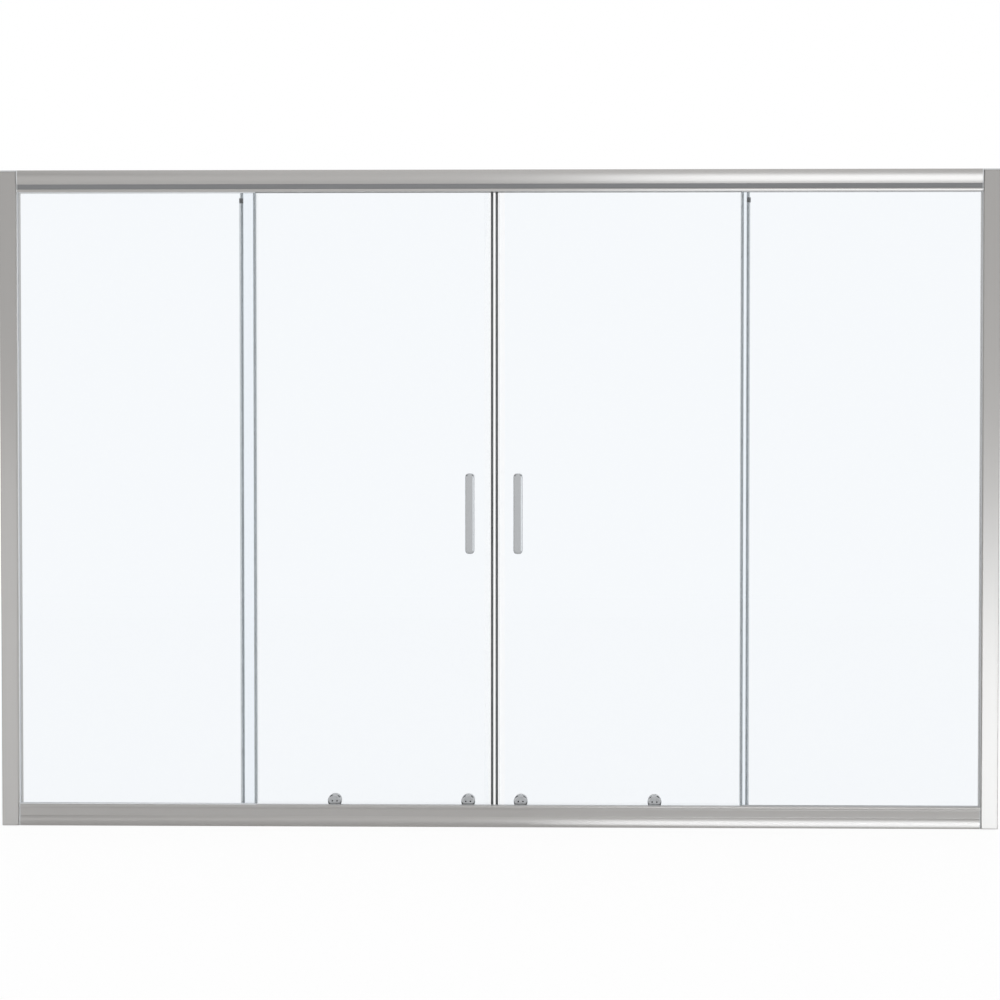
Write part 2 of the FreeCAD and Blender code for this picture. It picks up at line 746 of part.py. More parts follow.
def make_fixed_panes():
    """The panes at each end, on their setting blocks and between their gaskets."""
    foot = FIXED_GLASS_FOOT
    head = f"(dims.overall_height - {foot})"
    side, edge = minus(FIXED_GLASS_SIDE), minus(FIXED_GLASS_EDGE)
    pane = glass_pane("left_fixed_glass", box_corners(side, edge, foot, head))
    place(pane, deep=FIXED_PLANE)
    keep("left_fixed_glass", pane)
    keep("right_fixed_glass", mirrored("right_fixed_glass", pane))

    lip_line = f"(dims.overall_height - {GASKET_TOP})"
    reveal = f"(-{FRAME_REACH} + dims.gasket_proud)"
    strips = []
    for deep in (
        f"({FIXED_FRONT} - dims.gasket_thickness / 2)",
        f"({FIXED_BACK} + dims.gasket_thickness / 2)",
    ):
        for corners in (
            box_corners(side, edge, foot, GASKET_TOP),
            box_corners(side, edge, lip_line, head),
            box_corners(side, reveal, GASKET_TOP, lip_line),
        ):
            strip = extrusion("gasket_strip", "XZ_Plane", corners, "dims.gasket_thickness")
            strips.append(place(strip, deep=deep))
    gasket = group("left_glazing_gasket", strips)
    keep("right_glazing_gasket", mirrored("right_glazing_gasket", gasket))

    blocks = []
    half_block = "(dims.setting_block_length / 2)"
    for middle in (
        f"({side} + dims.setting_block_inset)",
        f"({edge} - dims.setting_block_inset)",
    ):
        corners = box_corners(minus(half_block), half_block, SLOT_FLOOR, foot)
        block = extrusion("setting_block", "XZ_Plane", corners, "dims.glass_thickness")
        place(block, across=middle, deep=FIXED_PLANE)
        blocks += [block, mirrored("setting_block_right", block)]
    group("setting_blocks", blocks)

    cover = [
        (SLOT_FRONT, "dims.rail_height"),
        (SLOT_BACK, "dims.rail_height"),
        (SLOT_BACK, SLOT_FLOOR),
        (f"({SLOT_BACK} - dims.profile_wall)", SLOT_FLOOR),
        (f"({SLOT_BACK} - dims.profile_wall)", LEDGE),
        (f"({SLOT_FRONT} + dims.profile_wall)", LEDGE),
        (f"({SLOT_FRONT} + dims.profile_wall)", SLOT_FLOOR),
        (SLOT_FRONT, SLOT_FLOOR),
    ]
    length = f"(2 * ({FIXED_GLASS_EDGE} - dims.fit_gap))"
    for label, rail in (("top_slot_cover", "top_rail"), ("bottom_slot_cover", "bottom_rail")):
        strip = extrusion(label, "YZ_Plane", rail_points(cover, RAILS[rail]["up"]), length)
        keep(label, place(strip, up=RAILS[rail]["level"]))


def edge_clip(label, nose, edge, inner, front, back, foot, height):
    """A soft U section pushed over a pane's edge, in plan, standing on foot."""
    outer_front = f"({front} - dims.seal_wall)"
    outer_back = f"({back} + dims.seal_wall)"
    body = extrusion(
        label,
        "XY_Plane",
        [
            (nose, outer_front),
            (inner, outer_front),
            (inner, front),
            (edge, front),
            (edge, back),
            (inner, back),
            (inner, outer_back),
            (nose, outer_back),
        ],
        height,
        both_ways=False,
    )
    return place(body, up=foot)


def make_fixed_edge_seals():
    """The seal on each fixed pane's free edge, with a fin that reaches back to the door."""
    nose = minus("dims.fixed_edge_reach")
    clear = f"({GASKET_TOP} + dims.fit_gap)"
    height = f"(dims.overall_height - 2 * {clear})"
    seal = edge_clip(
        "left_fixed_edge_seal",
        nose,
        minus(FIXED_GLASS_EDGE),
        f"({minus(FIXED_GLASS_EDGE)} - dims.seal_leg)",
        FIXED_FRONT,
        FIXED_BACK,
        clear,
        height,
    )
    fin = new_sketch(seal, "XY_Plane")
    root = f"({FIXED_BACK} + dims.seal_wall)"
    tip = f"({DOOR_FRONT} - dims.fit_gap)"
    lean = f"({nose} - 2 * dims.fin_thickness)"
    draw(
        fin,
        [
            (nose, root),
            (f"({nose} - dims.fin_thickness)", root),
            (f"({lean} - dims.fin_thickness)", tip),
            (lean, tip),
        ],
    )
    fin.setExpression("AttachmentOffset.Base.z", f"(dims.fin_inset - {clear})")
    pad(seal, fin, "(dims.overall_height - 2 * dims.fin_inset)", both_ways=False)
    keep("left_fixed_edge_seal", seal)
    keep("right_fixed_edge_seal", mirrored("right_fixed_edge_seal", seal))


def make_door_stops():
    """A rubber block hooked over the top rail's rib at each end of the travel."""
    half_width = "(dims.wheel_width / 2)"
    play = "dims.running_fit"
    stop = extrusion(
        "left_door_stop",
        "YZ_Plane",
        rail_points(
            [
                (f"({WHEEL_PLANE} - {half_width})", LEDGE),
                (f"({WHEEL_PLANE} - {half_width})", "dims.stop_top"),
                (f"({WHEEL_PLANE} + {half_width})", "dims.stop_top"),
                (f"({WHEEL_PLANE} + {half_width})", LEDGE),
                (f"({RIB_BACK} + {play})", LEDGE),
                (f"({RIB_BACK} + {play})", f"({TOP_RIB} - {play})"),
                (f"({RIB_FRONT} - {play})", f"({TOP_RIB} - {play})"),
                (f"({RIB_FRONT} - {play})", LEDGE),
            ],
            up=False,
        ),
        "dims.stop_length",
    )
    wheel_edge = f"{OUTER_ROLLER} + {DOOR_TRAVEL} + dims.flange_radius"
    reach = f"{wheel_edge} + dims.fit_gap + dims.stop_length / 2"
    place(stop, across=minus(reach), up="dims.overall_height")
    group("door_stops", [stop, mirrored("right_door_stop", stop)])


# Doors: the left-hand door, and the right-hand one mirrored across the meeting plane
ROLLERS = {
    "top_inner": ("dims.inner_roller", TOP_AXLE, "dims.top_cap_radius"),
    "top_outer": (OUTER_ROLLER, TOP_AXLE, "dims.top_cap_radius"),
    "bottom_inner": ("dims.inner_roller", BOTTOM_AXLE, "dims.bottom_cap_radius"),
    "bottom_outer": (OUTER_ROLLER, BOTTOM_AXLE, "dims.bottom_cap_radius"),
}
POST_LEVELS = (
    "(dims.handle_height - dims.post_pitch / 2)",
    "(dims.handle_height + dims.post_pitch / 2)",
)


def from_meeting(distance):
    """The X of a place on the left-hand door so far from where the doors meet."""
    return f"({PARK} - {distance})"


def door_pair(left_label, piece):
    """Keep a left-hand door piece and its mirror image on the right-hand door."""
    keep(left_label, piece)
    right_label = left_label.replace("left_", "right_", 1)
    keep(right_label, mirrored(right_label, piece, PARK))


def make_door_glass():
    """The door panes, drilled for the roller axles and the handle screws."""
    holes = [
        ((from_meeting(reach), level), "dims.glass_hole_radius")
        for reach, level, _ in ROLLERS.values()
    ]
    for level in POST_LEVELS:
        holes.append(((from_meeting("dims.handle_offset"), level), "dims.handle_hole_radius"))
    corners = box_corners(from_meeting(DOOR_TRAILING), from_meeting(DOOR_LEADING), DOOR_FOOT, DOOR_HEAD)
    pane = glass_pane("left_door_glass", corners, holes)
    door_pair("left_door_glass", place(pane, deep=DOOR_PLANE))


def make_meeting_seals():
    """The clear seal on the leading edge and the magnet strip that it holds."""
    foot = f"({DOOR_FOOT} + dims.seal_inset)"
    height = f"({DOOR_HEAD} - {DOOR_FOOT} - 2 * dims.seal_inset)"
    face = from_meeting("dims.meeting_gap")
    edge = from_meeting(DOOR_LEADING)
    inner = from_meeting(f"({DOOR_LEADING} + dims.magnet_leg)")
    half_box = "(dims.magnet_depth / 2 + dims.magnet_play + dims.magnet_wall)"
    half_room = "(dims.magnet_depth / 2 + dims.magnet_play)"
    leg_front = f"({DOOR_FRONT} - dims.seal_wall)"
    leg_back = f"({DOOR_BACK} + dims.seal_wall)"
    room = box_corners(
        f"({edge} + dims.magnet_wall)",
        f"({face} - dims.magnet_wall)",
        f"({DOOR_PLANE} - {half_room})",
        f"({DOOR_PLANE} + {half_room})",
    )
    seal = extrusion(
        "left_magnet_seal",
        "XY_Plane",
        [
            (face, f"({DOOR_PLANE} - {half_box})"),
            (face, f"({DOOR_PLANE} + {half_box})"),
            (edge, f"({DOOR_PLANE} + {half_box})"),
            (edge, leg_back),
            (inner, leg_back),
            (inner, DOOR_BACK),
            (edge, DOOR_BACK),
            (edge, DOOR_FRONT),
            (inner, DOOR_FRONT),
            (inner, leg_front),
            (edge, leg_front),
            (edge, f"({DOOR_PLANE} - {half_box})"),
        ],
        height,
        hollows=[(room, None)],
        both_ways=False,
    )
    door_pair("left_magnet_seal", place(seal, up=foot))

    half_depth = "(dims.magnet_depth / 2)"
    strip = extrusion(
        "left_magnet_strip",
        "XY_Plane",
        box_corners(
            f"({edge} + dims.magnet_wall + dims.magnet_play)",
            f"({face} - dims.magnet_wall - dims.magnet_play)",
            f"({DOOR_PLANE} - {half_depth})",
            f"({DOOR_PLANE} + {half_depth})",
        ),
        height,
        both_ways=False,
    )
    door_pair("left_magnet_strip", place(strip, up=foot))


def make_trailing_edge():
    """The trailing seal, whose fin runs behind the fixed pane, and the buffer above it."""
    nose = from_meeting(DOOR_REACH)
    edge = from_meeting(DOOR_TRAILING)
    inner = from_meeting(f"({DOOR_TRAILING} - dims.seal_leg)")
    foot = f"({GASKET_TOP} + dims.fit_gap)"
    buffer_foot = "(dims.overall_height - dims.buffer_drop - dims.buffer_height / 2)"
    height = f"({buffer_foot} - {foot})"
    seal = edge_clip("left_trailing_seal", nose, edge, inner, DOOR_FRONT, DOOR_BACK, foot, height)
    fin = new_sketch(seal, "XY_Plane")
    root = f"({DOOR_FRONT} - dims.seal_wall)"
    tip = f"({FIXED_BACK} + dims.fit_gap)"
    draw(
        fin,
        [
            (nose, root),
            (f"({nose} + dims.fin_thickness)", root),
            (f"({nose} + dims.fin_thickness)", tip),
            (nose, tip),
        ],
    )
    pad(seal, fin, height, both_ways=False)
    door_pair("left_trailing_seal", seal)

    bumper = extrusion(
        "left_edge_buffer",
        "XY_Plane",
        [
            (f"({nose} - dims.buffer_wall)", f"({DOOR_FRONT} - dims.buffer_wall)"),
            (inner, f"({DOOR_FRONT} - dims.buffer_wall)"),
            (inner, DOOR_FRONT),
            (edge, DOOR_FRONT),
            (edge, DOOR_BACK),
            (inner, DOOR_BACK),
            (inner, f"({DOOR_BACK} + dims.buffer_wall)"),
            (f"({nose} - dims.buffer_wall)", f"({DOOR_BACK} + dims.buffer_wall)"),
        ],
        "dims.buffer_height",
        both_ways=False,
    )
    door_pair("left_edge_buffer", place(bumper, up=buffer_foot))


def make_handles():
    """A straight bar on two posts, screwed through the glass from the bath side."""
    half_width = "(dims.handle_width / 2)"
    half_length = "(dims.handle_length / 2)"
    flat_across = f"({half_width} - dims.handle_corner)"
    flat_up = f"({half_length} - dims.handle_corner)"
    bar = extrusion(
        "left_handle_bar",
        "XZ_Plane",
        [
            (minus(half_width), minus(flat_up)),
            (minus(flat_across), minus(half_length)),
            (flat_across, minus(half_length)),
            (half_width, minus(flat_up)),
            (half_width, flat_up),
            (flat_across, half_length),
            (minus(flat_across), half_length),
            (minus(half_width), flat_up),
        ],
        "dims.handle_thickness",
        arcs={corner: ("radius", "dims.handle_corner", -1) for corner in (0, 2, 4, 6)},
    )
    dress(bar, "Fillet", "Radius", "dims.handle_softening")
    bar_rear = f"({DOOR_FRONT} - dims.handle_standoff)"
    across = from_meeting("dims.handle_offset")
    place(bar, across, f"({bar_rear} - dims.handle_thickness / 2)", "dims.handle_height")
    door_pair("left_handle_bar", bar)

    seat = f"({DOOR_FRONT} - dims.handle_washer)"
    rear_seat = f"({DOOR_BACK} + dims.handle_washer)"
    screw_tip = f"({seat} - dims.screw_bite)"
    sleeve = "(dims.handle_hole_radius - dims.running_fit)"
    bore = "(dims.screw_radius + dims.running_fit)"
    posts, screws, washers = [], [], []
    for level in POST_LEVELS:
        post = turned(
            "handle_post",
            [
                (bar_rear, "0"),
                (bar_rear, "dims.post_radius"),
                (seat, "dims.post_radius"),
                (seat, "dims.post_hole_radius"),
                (f"({seat} - dims.post_hole_depth)", "dims.post_hole_radius"),
                (f"({seat} - dims.post_hole_depth)", "0"),
            ],
        )
        screw = turned(
            "handle_screw",
            [
                (screw_tip, "0"),
                (screw_tip, "dims.screw_radius"),
                (rear_seat, "dims.screw_radius"),
                (rear_seat, "dims.screw_head_radius"),
                (f"({rear_seat} + dims.screw_head)", "(dims.screw_head_radius - dims.screw_head / 2)"),
                (f"({rear_seat} + dims.screw_head)", "0"),
            ],
        )
        front_washer = turned(
            "handle_front_washer",
            box_corners(seat, DOOR_FRONT, bore, "dims.handle_washer_radius"),
        )
        rear_washer = turned(
            "handle_rear_washer",
            [
                (DOOR_FRONT, bore),
                (rear_seat, bore),
                (rear_seat, "dims.handle_washer_radius"),
                (DOOR_BACK, "dims.handle_washer_radius"),
                (DOOR_BACK, sleeve),
                (DOOR_FRONT, sleeve),
            ],
        )
        for piece in (post, screw, front_washer, rear_washer):
            place(piece, across, "0", level)
        posts.append(post)
        screws.append(screw)
        washers += [front_washer, rear_washer]
    for name, pieces in (("posts", posts), ("screws", screws), ("washers", washers)):
        door_pair(f"left_handle_{name}", group(f"left_handle_{name}", pieces))


# Rollers, turned about an axle; distances along Y are from the door's centre plane
WASHER_FRONT = f"(-{HALF_GLASS} - dims.washer_thickness)"
WASHER_BACK = f"({HALF_GLASS} + dims.washer_thickness)"
CAP_FRONT = f"({WASHER_FRONT} - dims.cap_thickness)"
COLLAR_BACK = f"({WASHER_BACK} + dims.collar_thickness)"
WHEEL_FRONT = "(dims.wheel_offset - dims.wheel_width / 2)"
WHEEL_BACK = "(dims.wheel_offset + dims.wheel_width / 2)"
AXLE_END = f"({WHEEL_BACK} + dims.wheel_play)"
SPIGOT_BORE = "(dims.spigot_radius + dims.running_fit)"


def roller_cap(radius):
    """The cap in front of the glass, with a rounded rim and two holes for a pin spanner."""
    socket_floor = f"({WASHER_FRONT} - dims.cap_socket)"
    cap = turned(
        "roller_cap",
        [
            (CAP_FRONT, "0"),
            (CAP_FRONT, f"({radius} - dims.cap_rim)"),
            (f"({CAP_FRONT} + dims.cap_rim)", radius),
            (WASHER_FRONT, radius),
            (WASHER_FRONT, SPIGOT_BORE),
            (socket_floor, SPIGOT_BORE),
            (socket_floor, "0"),
        ],
        arcs={1: ("radius", "dims.cap_rim", 1)},
    )
    pins = new_sketch(cap, "XZ_Plane")
    for across in ("dims.pin_hole_offset", minus("dims.pin_hole_offset")):
        ring(pins, (across, "0"), "dims.pin_hole_radius")
    pins.setExpression("AttachmentOffset.Base.z", minus(CAP_FRONT))
    pocket(cap, pins, "dims.pin_hole_depth")
    return cap


def roller_axle():
    """The axle: a spigot through the glass, a collar behind it and a journal for the wheel."""
    tip = f"({WASHER_FRONT} - dims.cap_socket + dims.running_fit)"
    tapped = "(dims.retainer_shank + dims.running_fit)"
    tapped_floor = f"({AXLE_END} - dims.retainer_length - dims.running_fit)"
    return turned(
        "roller_axle",
        [
            (tip, "0"),
            (tip, "dims.spigot_radius"),
            (WASHER_BACK, "dims.spigot_radius"),
            (WASHER_BACK, "dims.collar_radius"),
            (COLLAR_BACK, "dims.collar_radius"),
            (COLLAR_BACK, "dims.axle_radius"),
            (AXLE_END, "dims.axle_radius"),
            (AXLE_END, tapped),
            (tapped_floor, tapped),
            (tapped_floor, "0"),
        ],
    )


def roller_bush():
    """The soft bush that lines the hole in the glass and spreads the cap's load."""
    sleeve = "(dims.glass_hole_radius - dims.running_fit)"
    return turned(
        "roller_bush",
        [
            (WASHER_FRONT, SPIGOT_BORE),
            (HALF_GLASS, SPIGOT_BORE),
            (HALF_GLASS, sleeve),
            (minus(HALF_GLASS), sleeve),
            (minus(HALF_GLASS), "dims.washer_radius"),
            (WASHER_FRONT, "dims.washer_radius"),
        ],
    )


def roller_washer():
    """The soft washer between the glass and the axle's collar."""
    corners = box_corners(HALF_GLASS, WASHER_BACK, SPIGOT_BORE, "dims.washer_radius")
    return turned("roller_washer", corners)


def wheel_retainer():
    """The wide-headed screw in the axle's end that keeps the wheel on."""
    shank_tip = f"({AXLE_END} - dims.retainer_length)"
    return turned(
        "wheel_retainer",
        [
            (shank_tip, "0"),
            (shank_tip, "dims.retainer_shank"),
            (AXLE_END, "dims.retainer_shank"),
            (AXLE_END, "dims.retainer_radius"),
            (f"({AXLE_END} + dims.retainer_head / 2)", "dims.retainer_radius"),
            (f"({AXLE_END} + dims.retainer_head)", "(dims.retainer_radius - dims.retainer_head / 2)"),
            (f"({AXLE_END} + dims.retainer_head)", "0"),
        ],
    )


def grooved_wheel(label):
    """A grooved wheel that straddles the rib of its rail."""
    bore = "(dims.axle_radius + dims.running_fit)"
    half_tread = "(dims.tread_width / 2)"
    half_mouth = "(dims.wheel_width / 2 - dims.flange_edge)"
    middle = "dims.wheel_offset"
    return turned(
        label,
        [
            (WHEEL_FRONT, bore),
            (WHEEL_BACK, bore),
            (WHEEL_BACK, "dims.flange_radius"),
            (f"({middle} + {half_mouth})", "dims.flange_radius"),
            (f"({middle} + {half_tread})", "dims.tread_radius"),
            (f"({middle} - {half_tread})", "dims.tread_radius"),
            (f"({middle} - {half_mouth})", "dims.flange_radius"),
            (WHEEL_FRONT, "dims.flange_radius"),
        ],
    )


def make_rollers():
    """Four rollers to a door: caps, axles, bushes and retainers by kind, and each wheel."""
    kinds = {"roller_caps": [], "roller_axles": [], "roller_bushes": [], "wheel_retainers": []}
    for name, (reach, level, cap_radius) in ROLLERS.items():
        wheel = grooved_wheel(f"left_{name}_wheel")
        made = {
            "roller_caps": [roller_cap(cap_radius)],
            "roller_axles": [roller_axle()],
            "roller_bushes": [roller_bush(), roller_washer()],
            "wheel_retainers": [wheel_retainer()],
        }
        for kind, pieces in made.items():
            for piece in pieces:
                place(piece, from_meeting(reach), DOOR_PLANE, level)
            kinds[kind] += pieces
        place(wheel, from_meeting(reach), DOOR_PLANE, level)
        door_pair(f"left_{name}_wheel", wheel)
    for kind, pieces in kinds.items():
        door_pair(f"left_{kind}", group(f"left_{kind}", pieces))


make_rails()
make_trim_strips()
make_uprights()
make_frame_fasteners()
make_fixed_panes()
make_fixed_edge_seals()
make_door_stops()
make_door_glass()
make_meeting_seals()
make_trailing_edge()
make_handles()
make_rollers()
doc.recompute()

faults = [item.Label for item in doc.Objects if "Invalid" in item.State or "Error" in item.State]
for label, piece in nodes.items():
    if piece.Shape.isNull() or not piece.Shape.isValid() or not piece.Shape.Solids:
        faults.append(label)
if faults:
    raise RuntimeError("these did not come out as valid solids: " + ", ".join(faults))

os.makedirs("parts", exist_ok=True)
for label, piece in nodes.items():
    piece.Shape.exportStep(f"parts/{label}.step")
print(len(nodes), "nodes,", sum(len(piece.Shape.Solids) for piece in nodes.values()), "solids")
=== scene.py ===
# %% [markdown]
# # Dressing a sliding bath screen
#
# The imported CAD model holds every piece of the screen at its real size: an aluminium frame, a
# fixed glass pane at each end, and two glass doors that roll apart from the middle. This lesson
# adds what CAD leaves out. It gives each piece a material that behaves like the real one,
# finishes the small fittings, and sets up a plain studio.
#
# Everything is in metres. +X runs to the right along the bath, the room is at -Y, and +Z points
# up.

# %% Load the frame
import json
import math

import bmesh
import bpy
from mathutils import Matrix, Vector


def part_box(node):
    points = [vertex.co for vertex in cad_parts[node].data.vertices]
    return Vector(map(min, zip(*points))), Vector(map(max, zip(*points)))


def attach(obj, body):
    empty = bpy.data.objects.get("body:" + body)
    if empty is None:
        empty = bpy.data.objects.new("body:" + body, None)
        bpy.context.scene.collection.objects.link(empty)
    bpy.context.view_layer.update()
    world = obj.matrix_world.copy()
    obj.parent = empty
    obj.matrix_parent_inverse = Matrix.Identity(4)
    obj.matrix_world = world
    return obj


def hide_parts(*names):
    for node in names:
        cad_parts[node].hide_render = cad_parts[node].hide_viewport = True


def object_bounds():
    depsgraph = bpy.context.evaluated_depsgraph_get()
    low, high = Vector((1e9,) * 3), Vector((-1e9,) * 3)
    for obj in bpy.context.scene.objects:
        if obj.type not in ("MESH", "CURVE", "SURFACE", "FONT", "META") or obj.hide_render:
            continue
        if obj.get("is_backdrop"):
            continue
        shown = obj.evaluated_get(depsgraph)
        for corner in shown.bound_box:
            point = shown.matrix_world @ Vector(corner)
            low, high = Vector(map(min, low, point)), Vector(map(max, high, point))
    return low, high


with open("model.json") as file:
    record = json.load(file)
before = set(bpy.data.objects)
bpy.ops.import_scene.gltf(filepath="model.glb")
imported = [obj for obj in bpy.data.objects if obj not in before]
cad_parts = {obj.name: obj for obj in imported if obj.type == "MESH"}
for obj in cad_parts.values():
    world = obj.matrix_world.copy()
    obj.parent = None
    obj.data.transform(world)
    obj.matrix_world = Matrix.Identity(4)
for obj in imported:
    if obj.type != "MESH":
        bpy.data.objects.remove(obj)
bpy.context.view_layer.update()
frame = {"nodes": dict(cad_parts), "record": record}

nodes = frame["nodes"]

# %% [markdown]
# ## Helpers for materials
#
# Colours are written as the hex values that a screen shows. Shaders work with linear light, so one
# function turns a hex value into linear numbers. A second function adds a shader node, sets its
# sockets, and links it to others. It keeps each material below as short as its idea.

# %% Colour and node helpers
def linear(hex_colour):
    """A screen colour such as "#A9ABAD" as linear red, green, blue and alpha."""
    shades = [int(hex_colour[i:i + 2], 16) / 255 for i in (1, 3, 5)]
    # The standard curve of screen colours has a straight foot and then a power.
    curved = [s / 12.92 if s <= 0.04045 else ((s + 0.055) / 1.055) ** 2.4 for s in shades]
    return (*curved, 1.0)


def add(tree, kind, sockets=None, **settings):
    """Add one node: settings are its properties, sockets its inputs as values or as links."""
    made = tree.nodes.new(f"ShaderNode{kind}")
    for name, setting in settings.items():
        setattr(made, name, setting)
    for name, content in (sockets or {}).items():
        if isinstance(content, bpy.types.NodeSocket):
            tree.links.new(content, made.inputs[name])
        else:
            made.inputs[name].default_value = content
    return made


def new_material(name):
    """An empty node material and its tree."""
    material = bpy.data.materials.new(name)
    material.use_nodes = True
    material.node_tree.nodes.clear()
    return material, material.node_tree


print("screen grey #808080 in linear light:", round(linear("#808080")[0], 3))

# %% [markdown]
# ## Surface patterns at real size
#
# No real surface is quite even. A noise pattern could be laid over a piece by its surface
# coordinates, but those stretch with each face. Object coordinates are in metres, so a grain keeps
# its real size on every piece. For drawn aluminium the noise is stretched along the extrusion.
# Noise stays mostly between 0.3 and 0.7, so a second helper gives the sockets that spread that
# part over a wanted range.

# %% Grains of a real size
MM_PER_METRE = 1000
EVEN = (1, 1, 1)


def grain(tree, size_mm, stretch=EVEN, detail=3.0):
    """Noise in object coordinates, with grains of a real size that may be stretched."""
    place = add(tree, "TexCoord").outputs["Object"]
    scale = [1 / s for s in stretch]
    mapped = add(tree, "Mapping", {"Vector": place, "Scale": scale}).outputs["Vector"]
    sockets = {"Vector": mapped, "Scale": MM_PER_METRE / size_mm, "Detail": detail}
    return add(tree, "TexNoise", sockets).outputs["Fac"]


def spread(noise, low, high, start=0.3, end=0.7):
    """Sockets that map a value between start and end to one between low and high."""
    return {"Value": noise, "From Min": start, "From Max": end, "To Min": low, "To Max": high}


# %% [markdown]
# ## A patterned surface
#
# Metals, rubbers and moulded plastics all use one recipe. Two shades and two roughness values are
# spread over the grain, and a faint bump may follow it. Where two faces meet, the shading may
# round the edge a little. That is done in the shader, because the mesh of a CAD piece stays as it
# is.

# %% Patterned surfaces
BUMP_STRENGTH = 0.6
EDGE_SAMPLES = 8
# A Mix node has sockets for numbers, vectors and colours. Those for colours go by number.
MIX_SHARE, MIX_FIRST, MIX_SECOND, MIX_COLOUR = 0, 6, 7, 2


def patterned(
        name, shades, roughness, grain_mm, stretch=EVEN, bump_mm=0.0, metallic=0.0, edge_mm=0.0):
    """A Principled surface whose colour, roughness and bump follow grains of a real size."""
    material, tree = new_material(name)
    noise = grain(tree, grain_mm, stretch)
    dark, light = (linear(shade) for shade in shades)
    share = add(tree, "MapRange", spread(noise, 0.0, 1.0)).outputs["Result"]
    mixed = {MIX_SHARE: share, MIX_FIRST: dark, MIX_SECOND: light}
    sockets = {
        "Base Color": add(tree, "Mix", mixed, data_type="RGBA").outputs[MIX_COLOUR],
        "Roughness": add(tree, "MapRange", spread(noise, *roughness)).outputs["Result"],
        "Metallic": metallic,
    }
    if bump_mm:
        relief = {
            "Height": noise, "Distance": bump_mm / MM_PER_METRE, "Strength": BUMP_STRENGTH}
        sockets["Normal"] = add(tree, "Bump", relief).outputs["Normal"]
    if edge_mm:
        rounded = {"Radius": edge_mm / MM_PER_METRE}
        sockets["Normal"] = add(tree, "Bevel", rounded, samples=EDGE_SAMPLES).outputs["Normal"]
    surface = add(tree, "BsdfPrincipled", sockets)
    add(tree, "OutputMaterial", {"Surface": surface.outputs["BSDF"]})
    return material


# %% [markdown]
# ## The metals
#
# The frame is extruded aluminium with a satin anodised finish. The die leaves fine lines along the
# length, and the etched surface spreads highlights into broad soft bands. The lines run along the
# rails but up the uprights, so the aluminium comes twice. The upright copy is a darker silver,
# which is painted shade, since both are the same metal. Real lines are a few hundredths of a
# millimetre apart, too fine to show, so they are drawn as coarse as 0.6 mm, which a close view
# shows. The handles have a softer chrome than the roller caps.

# %% Aluminium, chrome and steel
ALONG_X = (120, 1, 1)
ALONG_Z = (1, 1, 120)
FINE_GRAIN_MM = 0.6
SATIN = (0.38, 0.44)
RAIL_SILVER = ("#B5B3B1", "#B9B7B5")
# The uprights and wall channels are the same metal as the rails: their darker silver is painted
# shade.
UPRIGHT_SILVER_SHADED = ("#ACAAA8", "#B0AEAC")
CHROME = ("#B4B6B8", "#BBBDBF")
STEEL = ("#B0AEAA", "#BBB9B6")
materials = {
    # Drawn and anodised: soft bands of light, with faint lines along the rail.
    "rail_aluminium": patterned(
        "satin_aluminium_rail", RAIL_SILVER, SATIN, FINE_GRAIN_MM, ALONG_X, metallic=1.0),
    # The same finish with upright lines, on the uprights and wall channels. Its darker silver is
    # painted shade. Its rounded corners catch a darker line.
    "upright_aluminium": patterned(
        "satin_aluminium_upright", UPRIGHT_SILVER_SHADED, SATIN, FINE_GRAIN_MM, ALONG_Z,
        metallic=1.0, edge_mm=3.0),
    # Polished plate: a mirror with the faint cloudiness of wiped metal.
    "chrome": patterned(
        "polished_chrome", CHROME, roughness=(0.06, 0.10), grain_mm=4.0, metallic=1.0),
    # Plated over a satin ground: pale, with highlights that fade at their edges.
    "handle_chrome": patterned(
        "satin_chrome", CHROME, roughness=(0.25, 0.29), grain_mm=FINE_GRAIN_MM, metallic=1.0),
    # Turned and tumbled screws: a slightly warm grey with small uneven highlights.
    "stainless_steel": patterned(
        "stainless_steel", STEEL, roughness=(0.22, 0.34), grain_mm=FINE_GRAIN_MM, metallic=1.0),
}
print("metals:", ", ".join(materials))

# %% [markdown]
# ## Clear glass that lets lamps through
#
# The panes are toughened float glass, which bends light with an index of 1.52 and carries a faint
# blue tint. A plain glass shader would do for the eye, but lamps are traced by shadow rays, which
# clear glass stops. For those rays the surface is a tinted Transparent shader instead. Faint
# smears, as wide as a hand leaves, change the gloss.

# %% Glass
FLOAT_GLASS_INDEX = 1.52
SMEAR_MM = 60.0
SMEAR_DETAIL = 4.0


def see_through(name, tint, shadow_tint, roughness):
    """A clear solid that refracts what is behind it and lets lamp light pass."""
    material, tree = new_material(name)
    smear = spread(grain(tree, SMEAR_MM, detail=SMEAR_DETAIL), *roughness, start=0.4, end=0.8)
    body = add(tree, "BsdfPrincipled", {
        "Base Color": linear(tint),
        "Roughness": add(tree, "MapRange", smear).outputs["Result"],
        "IOR": FLOAT_GLASS_INDEX,
        "Transmission Weight": 1.0,
    })
    clear = add(tree, "BsdfTransparent", {"Color": linear(shadow_tint)})
    lamps = add(tree, "LightPath").outputs["Is Shadow Ray"]
    # A Mix Shader's sockets go by number: the share of the second shader, then the two shaders.
    both = {0: lamps, 1: body.outputs["BSDF"], 2: clear.outputs["BSDF"]}
    add(tree, "OutputMaterial", {"Surface": add(tree, "MixShader", both).outputs["Shader"]})
    return material


materials["clear_glass"] = see_through(
    "clear_float_glass", tint="#F6F9FC", shadow_tint="#EEF4F7", roughness=(0.0, 0.012))
print("glass with index", FLOAT_GLASS_INDEX)

# %% [markdown]
# ## Thin clear plastic
#
# The soft seals are thin walls of extruded PVC pressed against the glass. Real refraction in such
# thin walls would need many bounces and turn dark. Light passes through them almost straight, so
# they are a Transparent shader with a share of glossy plastic over it. The share varies a little,
# as the thickness does. The seals on the outer edges of the glass are smokier than the others.

# %% Seals
SOFT_PVC_INDEX = 1.53
CLOUD_MM = 12.0


